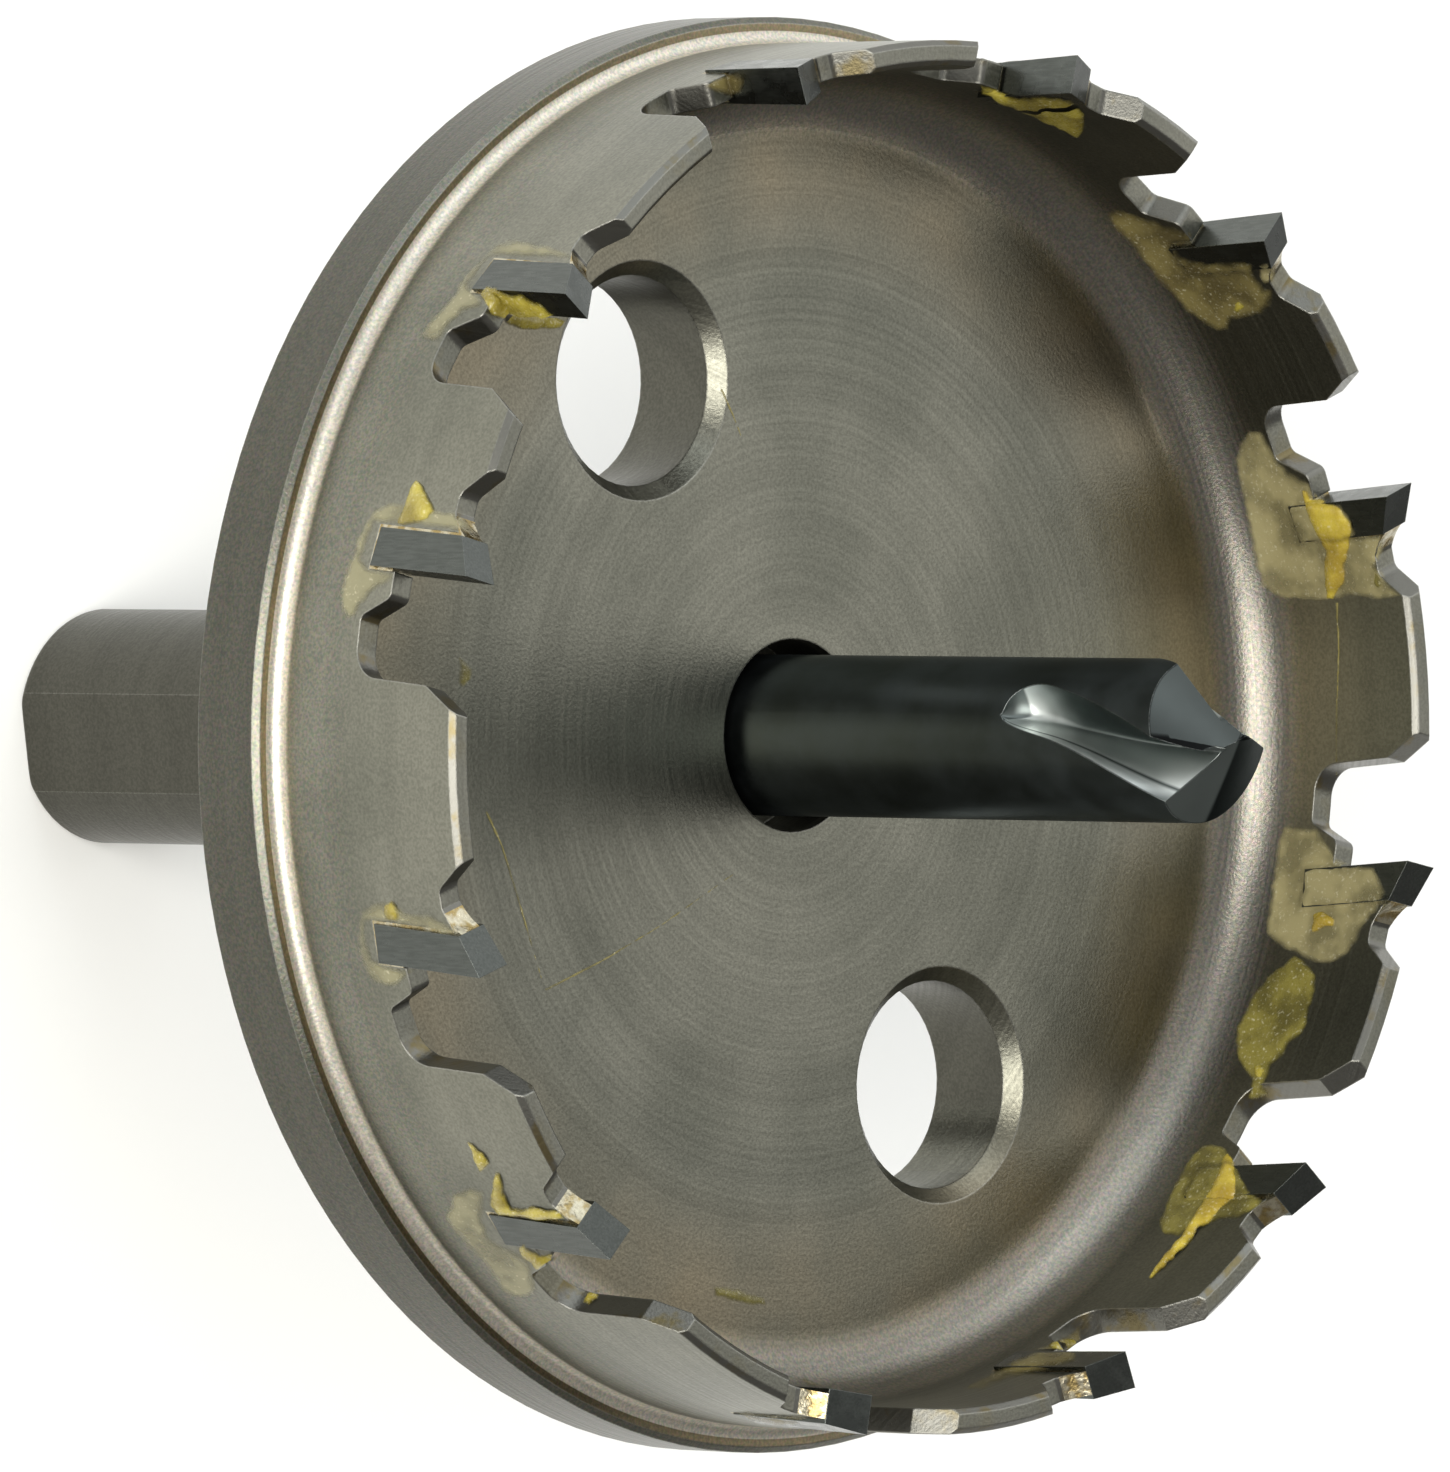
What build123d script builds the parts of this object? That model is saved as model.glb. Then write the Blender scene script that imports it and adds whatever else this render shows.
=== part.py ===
from build123d import *
import os
from math import cos, radians, sin, sqrt, tan

# Carbide-tipped hole cutter in one piece with its shank, millimetres.
# The tool stands on the end of its shank: Z is the cutting axis, the origin is the centre of the shank end.

# Shank and hub
shank_diameter = 9.53       # fits a 3/8 inch chuck
shank_length = 27.3         # shank end to the hub
shank_end_radius = 0.3
chuck_flat_depth = 0.45
chuck_flat_length = 19.0
chuck_flat_runout = 7.0     # radius the wheel leaves where a flat ends
chuck_flat_angle = 40.0     # first of the three flats, also the grub screw's side
chuck_flats = 3
hub_diameter = 16.0
hub_length = 8.2
hub_chamfer = 0.5

# Flange and cup
flange_diameter = 56.5
flange_edge_break = 0.24
web_thickness = 4.3
flange_step = 0.83          # the flange's front face lies this far behind the web's front face
ledge_fillet = 0.5
wall_thickness = 1.0
cup_corner_radius = 2.7
land_height = 8.95          # steel between the tips, above the web
land_chamfer = 0.22

# Slug ejection holes
slug_hole_diameter = 8.25
slug_hole_circle = 32.4
slug_hole_chamfer = 0.58
slug_hole_angle = 32.4

# Carbide tips
cut_diameter = 55.0         # swept by the outer corners
cut_width = 1.55            # radial width of a tip
side_clearance = 0.3        # a tip stands this far outside the wall
tip_height = 9.22           # cutting edge above the web
tip_thickness = 1.55
tip_length = 5.6
rake_angle = 4.5
relief_angle = 25.0
side_relief = 5.0
side_taper = 1.5
braze_gap = 0.12
braze_climb = 0.7           # the filler climbs a tip's back this far above the dip's floor
braze_reach = 0.8           # share of the slope down into the dip that it covers
braze_hollow = 0.3          # its face sinks by this share towards the seat's corner
first_tip_angle = 112.83
tip_pitches = [27.5, 27.5, 32.75, 32.4, 25.2, 32.4, 27.25, 33.15, 31.7, 27.95, 29.6, 32.6]

# Gullet in front of each tip, heights above the web, lengths forward of the cutting edge
nose_height = 4.95
nose_length = 0.8
floor_height = 3.47
floor_start = 1.5
gullet_length = 3.8
flank_height = 7.4
flank_length = 4.15
land_end = 5.17
gullet_radius = 1.2
nose_radius = 0.35

# Dip behind each tip, lengths behind the cutting edge
dip_height = 7.62
dip_start = 2.6
dip_end = 3.35
land_start = 4.35
dip_radius = 0.45
seat_lip = 0.3              # the seat's back wall ends this far above the dip's floor

# Pilot drill
pilot_diameter = 6.35
pilot_clearance = 0.05
pilot_reach = 24.2          # chisel edge above the web
pilot_depth = 21.8          # butt end below the web
counterbore_diameter = 7.6
counterbore_depth = 3.0
flank_angle = 56.3          # half angle of the cone that each flank is ground on
flank_offset = 2.2          # the cone's axis lies this far from the drill's
flank_facing = 200.7        # and on this side of it, for the second lip's flank
lip_angle = 259.7           # the first lip runs outward this way
lip_offset = 0.37           # each lip lies this far ahead of centre
chisel_half = 0.59          # half length of the chisel edge
heel_slope = 33.5           # second facet that backs each flank off towards its heel
heel_angle = 356.2
heel_drop = 0.06            # the heel facets pass this far under the chisel edge
flute_length = 9.5          # chisel edge back to the end of the run-out
flute_runout = 1.4          # length of the run-out itself
flute_end_angle = 248.0
flute_straight = 2.8        # length of flute that doesn't twist yet
flute_twist = 8.7           # degrees in each millimetre
flute_start_width = 2.1
flute_start_depth = 1.7
flute_point_width = 3.1
flute_point_depth = 2.6
flute_lip_bow = 0.56        # share of the half width left on the lip's side, six tenths of the way down
flute_heel_bow = 0.8        # and on the heel's side

# Grub screw
screw_diameter = 5.0
screw_length = 4.4
screw_clearance = 0.03
screw_chamfer = 0.5
socket_width = 2.5
socket_depth = 2.0
screw_seat_depth = 0.35     # flat ground on the drill under the screw
screw_seat_length = 7.0

# Levels and radii that follow from the sizes above
hub_base = shank_length
flange_back = hub_base + hub_length
web_front = flange_back + web_thickness
flange_front = web_front - flange_step
land_top = web_front + land_height
tip_top = web_front + tip_height
point_top = web_front + pilot_reach
pilot_butt = web_front - pilot_depth
screw_height = hub_base + hub_length / 2
shank_radius = shank_diameter / 2
flange_radius = flange_diameter / 2
tip_outer = cut_diameter / 2
tip_inner = tip_outer - cut_width
wall_outer = tip_outer - side_clearance
wall_inner = wall_outer - wall_thickness
pilot_radius = pilot_diameter / 2
bore_radius = pilot_radius + pilot_clearance
rake = radians(rake_angle)
overcut = 1.5               # cuts run this far past the steel they go through


def tip_angles():
    angles = [first_tip_angle]
    for pitch in tip_pitches[:-1]:
        angles.append(angles[-1] + pitch)
    return angles


# Plane that faces outward at angle zero: x runs round the cup, y runs up the axis
def rim_plane(radius):
    return Plane(origin=(radius, 0, 0), x_dir=(0, 1, 0), z_dir=(1, 0, 0))


# Point of a tip's own square frame, which leans forward by the rake angle
def tip_point(back, down):
    along = -back * cos(rake) - down * sin(rake)
    height = tip_top + back * sin(rake) - down * cos(rake)
    return (along, height)


def between(first, second, share):
    return (first[0] + share * (second[0] - first[0]), first[1] + share * (second[1] - first[1]))


def closed_face(points):
    return make_face(Polyline(*points, close=True))


def raise_points(points):
    return [(along, web_front + height) for along, height in points]


# Point of the seat's back wall where the dip begins
def seat_back_top():
    down = (tip_height - dip_height - seat_lip) / cos(rake)
    return tip_point(tip_thickness + braze_gap, down)


def gullet_face():
    start = tip_point(tip_thickness / 4, -overcut)
    nose_back = tip_point(tip_thickness / 4, (tip_height - nose_height) / cos(rake))
    rise = (land_end - flank_length) / (land_height - flank_height)
    outline = raise_points([
        (nose_length, nose_height),
        (floor_start, floor_height),
        (gullet_length, floor_height),
        (flank_length, flank_height),
        (land_end, land_height),
        (land_end + rise * overcut, land_height + overcut),
    ])
    face = closed_face([start, (nose_back[0], web_front + nose_height)] + outline)
    face = round_corner(face, outline[0], nose_radius)
    face = round_corner(face, outline[1], nose_radius)
    return round_corner(face, outline[2], gullet_radius)


def round_corner(face, place, radius):
    corner = face.vertices().sort_by_distance((place[0], place[1], 0))[0]
    return fillet(corner, radius)


def seat_face():
    front = -braze_gap
    back = tip_thickness + braze_gap
    bottom = tip_length + braze_gap
    return closed_face([
        tip_point(front, bottom),
        tip_point(back, bottom),
        tip_point(back, -overcut),
        tip_point(front, -overcut),
    ])


def dip_face():
    rise = (land_height - dip_height) / (land_start - dip_end)
    run = overcut / rise
    face = closed_face([
        tip_point(tip_thickness / 2, -overcut),
        tip_point(tip_thickness / 2, tip_length / 4),
        seat_back_top(),
    ] + raise_points([
        (-dip_start, dip_height),
        (-dip_end, dip_height),
        (-land_start - run, land_height + overcut),
    ]))
    return round_corner(face, (-dip_end, web_front + dip_height), dip_radius)


# One tooth space at angle zero: gullet, tip seat and the dip behind the tip
def tooth_cut():
    depth = wall_thickness + 2 * overcut
    cut = None
    for face in (gullet_face(), seat_face(), dip_face()):
        piece = extrude(rim_plane(wall_inner - overcut) * face, depth, dir=(1, 0, 0))
        cut = piece if cut is None else cut + piece
    return cut


def carbide_tip():
    back_down = tip_thickness * tan(radians(relief_angle + rake_angle))
    face = closed_face([
        tip_point(0, 0),
        tip_point(0, tip_length),
        tip_point(tip_thickness, tip_length),
        tip_point(tip_thickness, back_down),
    ])
    block = extrude(rim_plane(tip_inner) * face, cut_width, dir=(1, 0, 0))
    lean = (1, -tan(radians(side_relief)), -tan(radians(side_taper)))
    side = Plane(origin=(tip_outer, 0, tip_top), z_dir=lean)
    return split(block, bisect_by=side, keep=Keep.BOTTOM)


# Filler all round the foot of a tip, with a hollow fillet behind it that lies on the dip
def braze_seam():
    back = tip_thickness + braze_gap
    bottom = tip_length + braze_gap
    nose_down = (tip_height - nose_height + braze_gap) / cos(rake)
    high_down = (tip_height - dip_height - braze_climb) / cos(rake)
    top = seat_back_top()
    low = (-dip_start, web_front + dip_height)
    toe = between(top, low, braze_reach)
    high = tip_point(tip_thickness, high_down)
    middle = between(between(high, toe, 0.5), top, braze_hollow)
    lines = Polyline(
        toe, top, tip_point(back, bottom), tip_point(-braze_gap, bottom), tip_point(-braze_gap, nose_down),
        tip_point(0, nose_down), tip_point(0, tip_length), tip_point(tip_thickness, tip_length), high,
    )
    face = make_face(lines + ThreePointArc(high, middle, toe))
    depth = wall_thickness + 2 * overcut
    bar = extrude(rim_plane(wall_inner - overcut) * face, depth, dir=(1, 0, 0))
    height = 2 * tip_height
    ring = Cylinder(wall_outer, height) - Cylinder(wall_inner, height)
    return bar & (Pos(0, 0, web_front + height / 2) * ring)


# Half section of the turned body, from the axis outwards
def body_section():
    rim = flange_radius - flange_edge_break
    ledge = wall_outer + ledge_fillet
    corner = wall_inner - cup_corner_radius
    swing = cup_corner_radius * (1 - sqrt(0.5))
    curl = ledge_fillet * (1 - sqrt(0.5))
    end = Line((0, 0), (shank_radius - shank_end_radius, 0))
    end_curl = shank_end_radius * (1 - sqrt(0.5))
    end_edge = ThreePointArc(
        (shank_radius - shank_end_radius, 0),
        (shank_radius - end_curl, end_curl),
        (shank_radius, shank_end_radius),
    )
    outline = Polyline(
        (shank_radius, shank_end_radius),
        (shank_radius, hub_base), (hub_diameter / 2 - hub_chamfer, hub_base),
        (hub_diameter / 2, hub_base + hub_chamfer), (hub_diameter / 2, flange_back),
        (rim, flange_back), (flange_radius, flange_back + flange_edge_break),
        (flange_radius, flange_front - flange_edge_break), (rim, flange_front), (ledge, flange_front),
    )
    foot = ThreePointArc(
        (ledge, flange_front),
        (wall_outer + curl, flange_front + curl),
        (wall_outer, flange_front + ledge_fillet),
    )
    wall = Polyline(
        (wall_outer, flange_front + ledge_fillet), (wall_outer, land_top - land_chamfer),
        (wall_outer - land_chamfer, land_top), (wall_inner + land_chamfer, land_top),
        (wall_inner, land_top - land_chamfer), (wall_inner, web_front + cup_corner_radius),
    )
    hollow = ThreePointArc(
        (wall_inner, web_front + cup_corner_radius),
        (wall_inner - swing, web_front + swing),
        (corner, web_front),
    )
    floor = Polyline((corner, web_front), (0, web_front), (0, 0))
    return Plane.XZ * make_face(end + end_edge + outline + foot + wall + hollow + floor)


def chuck_flat(angle):
    depth = chuck_flat_runout + shank_radius
    width = shank_diameter + 2 * overcut
    reach = shank_radius - chuck_flat_depth
    slab = Box(depth, width, chuck_flat_length + overcut)
    slab = Pos(reach + depth / 2, 0, (chuck_flat_length - overcut) / 2) * slab
    wheel = Cylinder(chuck_flat_runout, width, rotation=(90, 0, 0))
    wheel = Pos(reach + chuck_flat_runout, 0, chuck_flat_length) * wheel
    return Rot(0, 0, angle) * (slab + wheel)


def slug_hole(angle):
    radius = slug_hole_diameter / 2
    mouth = radius + slug_hole_chamfer
    hole = Pos(0, 0, flange_back + web_thickness / 2) * Cylinder(radius, web_thickness * 2)
    cone = Pos(0, 0, web_front) * Cone(radius, mouth + slug_hole_chamfer, 2 * slug_hole_chamfer)
    return Rot(0, 0, angle) * (Pos(slug_hole_circle / 2, 0, 0) * (hole + cone))


def centre_bore():
    downward = (Align.CENTER, Align.CENTER, Align.MAX)
    bore = Cylinder(bore_radius, pilot_depth, align=downward)
    mouth = Cylinder(counterbore_diameter / 2, counterbore_depth, align=downward)
    return Pos(0, 0, web_front) * (bore + mouth)


def screw_hole():
    outward = (Align.CENTER, Align.CENTER, Align.MIN)
    hole = Cylinder(screw_diameter / 2 + screw_clearance, hub_diameter, align=outward)
    return Rot(0, 0, chuck_flat_angle) * (Pos(0, 0, screw_height) * (Rot(0, 90, 0) * hole))


def cutter_body():
    body = revolve(body_section(), Axis.Z)
    for number in range(chuck_flats):
        body = body - chuck_flat(chuck_flat_angle + number * 360 / chuck_flats)
    for side in (0, 180):
        body = body - slug_hole(slug_hole_angle + side)
    body = body - centre_bore() - screw_hole()
    space = tooth_cut()
    for angle in tip_angles():
        body = body - Rot(0, 0, angle) * space
    return body


# Half width and depth of a flute at a height measured up from the end of its run-out
def flute_size(height):
    if height < flute_runout:
        share = sqrt(1 - (1 - height / flute_runout) ** 2)
        return (share * flute_start_width / 2, share * flute_start_depth)
    share = (height - flute_runout) / (flute_length - flute_runout)
    half = (flute_start_width + share * (flute_point_width - flute_start_width)) / 2
    depth = flute_start_depth + share * (flute_point_depth - flute_start_depth)
    return (half, depth)


# Section of a flute at angle zero: nearly straight on the lip's side and hollow on the heel's
def flute_section(half, depth):
    mouth = pilot_radius + 0.15 * depth
    bottom = pilot_radius - depth
    middle = pilot_radius - 0.6 * depth
    lip_side = ThreePointArc((mouth, -1.1 * half), (middle, -flute_lip_bow * half), (bottom, 0))
    heel_side = ThreePointArc((bottom, 0), (middle, flute_heel_bow * half), (mouth, 1.1 * half))
    face = make_face(lip_side + heel_side + Line((mouth, 1.1 * half), (mouth, -1.1 * half)))
    return round_corner(face, (bottom, 0), 0.15 * depth)


# Flute lofted through sections that grow as they climb and turn about the axis
def flute():
    base = point_top - flute_length
    heights = [flute_runout * share for share in (0.02, 0.15, 0.4, 1.0)]
    steps = 7
    for step in range(1, steps + 1):
        heights.append(flute_runout + step * (flute_length + overcut - flute_runout) / steps)
    sections = []
    for height in heights:
        turn = flute_end_angle + flute_twist * max(0, height - flute_straight)
        half, depth = flute_size(height)
        sections.append(Rot(0, 0, turn) * (Pos(0, 0, base + height) * flute_section(half, depth)))
    return loft(sections)


# Steel above the second lip's flank: a cone whose own axis stands beside the drill's
def flank_cut():
    height = 2 * pilot_diameter
    spread = height * tan(radians(flank_angle))
    peak = point_top + flank_offset / tan(radians(flank_angle))
    cone = Cone(spread, 0, height, align=(Align.CENTER, Align.CENTER, Align.MAX))
    cone = Rot(0, 0, flank_facing) * (Pos(flank_offset, 0, peak) * cone)
    block = Pos(0, 0, peak) * Box(3 * pilot_diameter, 3 * pilot_diameter, height)
    return block - cone


# Everything above the second flank's heel facet, on the heel's side of both lips and the chisel edge
def heel_cut():
    size = 2 * pilot_diameter
    start = sqrt(chisel_half ** 2 - lip_offset ** 2)
    side = closed_face([(size, lip_offset), (start, lip_offset), (-start, -lip_offset), (-size, -lip_offset),
                        (-size, size), (size, size)])
    block = Pos(0, 0, point_top - size) * extrude(side, 2 * size)
    block = Rot(0, 0, lip_angle) * block
    slope = radians(heel_slope)
    facing = radians(heel_angle)
    normal = (sin(slope) * cos(facing), sin(slope) * sin(facing), cos(slope))
    floor = Plane(origin=(0, 0, point_top - heel_drop), z_dir=normal)
    return split(block, bisect_by=floor, keep=Keep.TOP)


def pilot_drill():
    length = point_top + overcut - pilot_butt
    drill = Cylinder(pilot_radius, length, align=(Align.CENTER, Align.CENTER, Align.MIN))
    drill = Pos(0, 0, pilot_butt) * drill
    for cut in (flank_cut(), heel_cut(), flute()):
        for turn in (0, 180):
            drill = drill - Rot(0, 0, turn) * cut
    seat = Box(pilot_radius, pilot_diameter, screw_seat_length, align=(Align.MIN, Align.CENTER, Align.CENTER))
    seat = Pos(pilot_radius - screw_seat_depth, 0, screw_height) * seat
    return drill - Rot(0, 0, chuck_flat_angle) * seat


def set_screw():
    screw = Cylinder(screw_diameter / 2, screw_length, align=(Align.CENTER, Align.CENTER, Align.MIN))
    screw = chamfer(screw.edges().filter_by(GeomType.CIRCLE), screw_chamfer)
    socket = extrude(RegularPolygon(socket_width / 2, 6, major_radius=False), socket_depth)
    screw = screw - Pos(0, 0, screw_length - socket_depth) * socket
    place = Pos(pilot_radius - screw_seat_depth, 0, screw_height) * Rot(0, 90, 0)
    return Rot(0, 0, chuck_flat_angle) * (place * screw)


def main():
    os.makedirs("parts", exist_ok=True)
    export_step(cutter_body(), "parts/cutter_body.step")
    export_step(pilot_drill(), "parts/pilot_drill.step")
    export_step(set_screw(), "parts/set_screw.step")
    tip = carbide_tip()
    seam = braze_seam()
    for number, angle in enumerate(tip_angles(), start=1):
        export_step(Rot(0, 0, angle) * tip, f"parts/carbide_tip_{number:02d}.step")
        export_step(Rot(0, 0, angle) * seam, f"parts/braze_seam_{number:02d}.step")


main()
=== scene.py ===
import math
import bpy
import bmesh
from mathutils import Matrix, Vector, noise
from mathutils.bvhtree import BVHTree


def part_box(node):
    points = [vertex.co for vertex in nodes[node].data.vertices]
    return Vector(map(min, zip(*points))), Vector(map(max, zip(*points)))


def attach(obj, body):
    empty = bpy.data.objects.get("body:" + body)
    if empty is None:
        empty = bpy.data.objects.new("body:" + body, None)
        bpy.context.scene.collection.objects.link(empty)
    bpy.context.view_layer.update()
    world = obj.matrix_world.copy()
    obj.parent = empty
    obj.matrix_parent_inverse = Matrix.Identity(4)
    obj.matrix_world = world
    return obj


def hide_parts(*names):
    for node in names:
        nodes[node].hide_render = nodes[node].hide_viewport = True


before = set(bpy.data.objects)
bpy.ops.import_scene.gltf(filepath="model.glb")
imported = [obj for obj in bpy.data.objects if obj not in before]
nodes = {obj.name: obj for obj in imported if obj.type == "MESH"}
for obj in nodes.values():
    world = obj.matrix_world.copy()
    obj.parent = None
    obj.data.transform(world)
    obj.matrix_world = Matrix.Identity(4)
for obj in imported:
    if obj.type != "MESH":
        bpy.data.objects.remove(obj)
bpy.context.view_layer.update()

mm = 0.001


def srgb(hexColor, alpha=1.0):
    # sRGB hex to the linear values Blender mixes with
    parts = [int(hexColor[i:i + 2], 16) / 255 for i in (1, 3, 5)]
    return tuple(p / 12.92 if p <= 0.04045 else ((p + 0.055) / 1.055) ** 2.4 for p in parts) + (alpha,)


def addNode(tree, kind, settings=None, links=None):
    # settings go to the node's own properties or its inputs; a link takes a socket, or a node's first output
    node = tree.nodes.new("ShaderNode" + kind)
    for name, value in (settings or {}).items():
        if isinstance(name, str) and hasattr(node, name):
            setattr(node, name, value)
        else:
            node.inputs[name].default_value = value
    for name, source in (links or {}).items():
        tree.links.new(getattr(source, "outputs", [source])[0], node.inputs[name])
    return node


def newMaterial(name):
    material = bpy.data.materials.new(name)
    material.use_nodes = True
    tree = material.node_tree
    tree.nodes.clear()
    shader = addNode(tree, "BsdfPrincipled")
    addNode(tree, "OutputMaterial", links={"Surface": shader})
    return material, tree, shader


def dress(obj, material):
    obj.data.materials.clear()
    obj.data.materials.append(material)


cameraSet = {
    "distance": 792.5 * mm,
    "lens": 493.03,
    "sensor": 36,
    "clip": (0.05, 20),
    "elevation": 45.299,
    "pitch": -0.386,
    "roll": -1.195,
    "target": Vector((0, 0, 39.8 * mm)),  # centre of the web's front face
    "offset": (2.657 * mm, 0.024 * mm),
    "frameSize": (1450, 1472),
}


def cameraTurn():
    # world to camera: the tool's axis runs to the right and -X runs up
    beta = math.radians(cameraSet["elevation"])
    right = Vector((0, math.sin(beta), math.cos(beta)))
    back = Vector((0, -math.cos(beta), math.sin(beta)))
    base = Matrix((right, Vector((-1, 0, 0)), back))
    pitch = Matrix.Rotation(math.radians(cameraSet["pitch"]), 3, "X")
    roll = Matrix.Rotation(math.radians(cameraSet["roll"]), 3, "Z")
    return roll @ pitch @ base


def cameraPlace(turn):
    offset = Vector((*cameraSet["offset"], -cameraSet["distance"]))
    return cameraSet["target"] - turn.transposed() @ offset


def makeCamera():
    data = bpy.data.cameras.new("camera")
    data.sensor_width = cameraSet["sensor"]
    data.lens = cameraSet["lens"]
    data.clip_start, data.clip_end = cameraSet["clip"]
    camera = bpy.data.objects.new("camera", data)
    bpy.context.scene.collection.objects.link(camera)
    turn = cameraTurn()
    camera.matrix_world = Matrix.Translation(cameraPlace(turn)) @ turn.transposed().to_4x4()
    bpy.context.scene.camera = camera


makeCamera()
print("camera ready")


lightSet = {
    "floorColor": "#fbfbf9",
    "floorRoughness": 0.9,
    "floorHalf": 3,
    "floorGap": 0.02 * mm,
    "skyBright": "#eef3f6",  # the big window of light towards -X, the top of the photograph
    "skyDim": "#f2efe9",
    "skyBrightStrength": 0.58,
    "skyDimStrength": 0.25,
    "frontSize": 0.85,  # soft box behind the camera: it draws the bright fillets
    "frontDistance": 1.1,
    "frontElevation": 37,
    "frontLean": -3,  # degrees towards -X
    "frontPower": 17.0,
    "topSize": 0.46,  # second box close over the cup: the web fades away from it
    "topPlace": Vector((-0.17, 0.2, 0.2)),
    "topPower": 0.7,
    "windowSize": 0.8,  # the broad light from -X that leaves the far side of each round dim
    "windowPlace": Vector((-0.9, -0.1, 0.5)),
    "windowPower": 3.0,
}


def softBox(name, size, place, power, color):
    data = bpy.data.lights.new(name, "AREA")
    data.shape = "SQUARE"
    data.size = size
    data.energy = power
    data.color = srgb(color)[:3]
    light = bpy.data.objects.new(name, data)
    bpy.context.scene.collection.objects.link(light)
    light.location = cameraSet["target"] + place
    light.rotation_mode = "QUATERNION"
    light.rotation_quaternion = place.to_track_quat("Z", "Y")


def makeLight():
    rise = math.radians(lightSet["frontElevation"])
    lean = math.radians(lightSet["frontLean"])
    side = Vector((0, -math.cos(rise), math.sin(rise))) * math.cos(lean) + Vector((-1, 0, 0)) * math.sin(lean)
    softBox("frontBox", lightSet["frontSize"], side * lightSet["frontDistance"], lightSet["frontPower"],
            "#fffdf8")
    softBox("topBox", lightSet["topSize"], lightSet["topPlace"], lightSet["topPower"], "#fbfbfa")
    softBox("window", lightSet["windowSize"], lightSet["windowPlace"], lightSet["windowPower"], "#f0f6fa")


def makeFloor():
    mesh = bpy.data.meshes.new("floor")
    build = bmesh.new()
    bmesh.ops.create_grid(build, x_segments=1, y_segments=1, size=lightSet["floorHalf"])
    build.to_mesh(mesh)
    build.free()
    floor = bpy.data.objects.new("floor", mesh)
    bpy.context.scene.collection.objects.link(floor)
    floor.location = (0, 0, -lightSet["floorGap"])
    material, tree, shader = newMaterial("floorPaper")
    shader.inputs["Base Color"].default_value = srgb(lightSet["floorColor"])
    shader.inputs["Roughness"].default_value = lightSet["floorRoughness"]
    dress(floor, material)


def makeSky():
    world = bpy.context.scene.world or bpy.data.worlds.new("world")
    bpy.context.scene.world = world
    world.use_nodes = True
    tree = world.node_tree
    tree.nodes.clear()
    place = addNode(tree, "TexCoord")
    parts = addNode(tree, "SeparateXYZ", links={"Vector": place.outputs["Generated"]})
    across = addNode(tree, "MapRange", {"interpolation_type": "SMOOTHSTEP", "From Min": -1.0}, {"Value": parts})
    strength = addNode(tree, "MapRange", {"To Min": lightSet["skyBrightStrength"],
                                          "To Max": lightSet["skyDimStrength"]}, {"Value": across})
    tint = addNode(tree, "MixRGB", {"Color1": srgb(lightSet["skyBright"]), "Color2": srgb(lightSet["skyDim"])},
                   {"Fac": across})
    sky = addNode(tree, "Background", links={"Color": tint, "Strength": strength})
    addNode(tree, "OutputWorld", links={"Surface": sky})
    bpy.context.scene.view_settings.view_transform = "Standard"


makeLight()
makeFloor()
makeSky()
print("floor and light ready")


def whereOn(tree):
    # millimetres from the shank's end and from the axis, and which way the surface faces
    place = addNode(tree, "TexCoord")
    point = addNode(tree, "VectorMath", {"operation": "SCALE", "Scale": 1000.0}, {0: place.outputs["Object"]})
    flat = addNode(tree, "VectorMath", {"operation": "MULTIPLY", 1: (1, 1, 0)}, {0: point})
    radius = addNode(tree, "VectorMath", {"operation": "LENGTH"}, {0: flat})
    outward = addNode(tree, "VectorMath", {"operation": "NORMALIZE"}, {0: flat})
    surface = addNode(tree, "NewGeometry")
    facing = addNode(tree, "VectorMath", {"operation": "DOT_PRODUCT"},
                     {0: surface.outputs["Normal"], 1: outward})
    return {
        "point": point,
        "height": addNode(tree, "SeparateXYZ", links={"Vector": point}).outputs["Z"],
        "radius": radius.outputs["Value"],
        "outward": outward,
        "normal": surface.outputs["Normal"],
        "facing": addNode(tree, "Math", {"operation": "ABSOLUTE"}, {0: facing.outputs["Value"]}),
        "rising": addNode(tree, "SeparateXYZ", links={"Vector": surface.outputs["Normal"]}).outputs["Z"],
    }


def zone(tree, at, *limits):
    # a mask that is full where every named measure lies past its second value; two more values set how low
    # and how high it goes
    mask = None
    for name, low, high, *span in limits:
        least, most = span or (0.0, 1.0)
        part = addNode(tree, "MapRange", {"interpolation_type": "SMOOTHSTEP", "From Min": low, "From Max": high,
                                          "To Min": least, "To Max": most}, {"Value": at[name]})
        mask = addNode(tree, "Math", {"operation": "MULTIPLY"}, {0: mask, 1: part}) if mask else part
    return mask


def roundedEdgeBand(tree, at, width):
    # a narrow band along every sharp edge, and the rounded normal that goes with it; the materials paint this
    # band paler, a painted highlight with some wear
    rounded = addNode(tree, "Bevel", {"samples": 6, "Radius": width * mm})
    turn = addNode(tree, "VectorMath", {"operation": "DOT_PRODUCT"}, {0: rounded, 1: at["normal"]})
    at["turn"] = turn.outputs["Value"]
    return rounded


def coveNormal(tree, at, normal, center, *limits):
    # the exact normal of a cove turned round the axis, so that its light runs evenly over the mesh's rows
    away = addNode(tree, "Math", {"operation": "SUBTRACT", 0: center[0]}, {1: at["radius"]})
    up = addNode(tree, "Math", {"operation": "SUBTRACT", 0: center[1]}, {1: at["height"]})
    across = addNode(tree, "VectorMath", {"operation": "SCALE"}, {0: at["outward"], "Scale": away})
    upward = addNode(tree, "CombineXYZ", links={"Z": up})
    both = addNode(tree, "VectorMath", {"operation": "ADD"}, {0: across, 1: upward})
    exact = addNode(tree, "VectorMath", {"operation": "NORMALIZE"}, {0: both})
    return addNode(tree, "MixRGB", links={"Fac": zone(tree, at, *limits), "Color1": normal, "Color2": exact})


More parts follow.
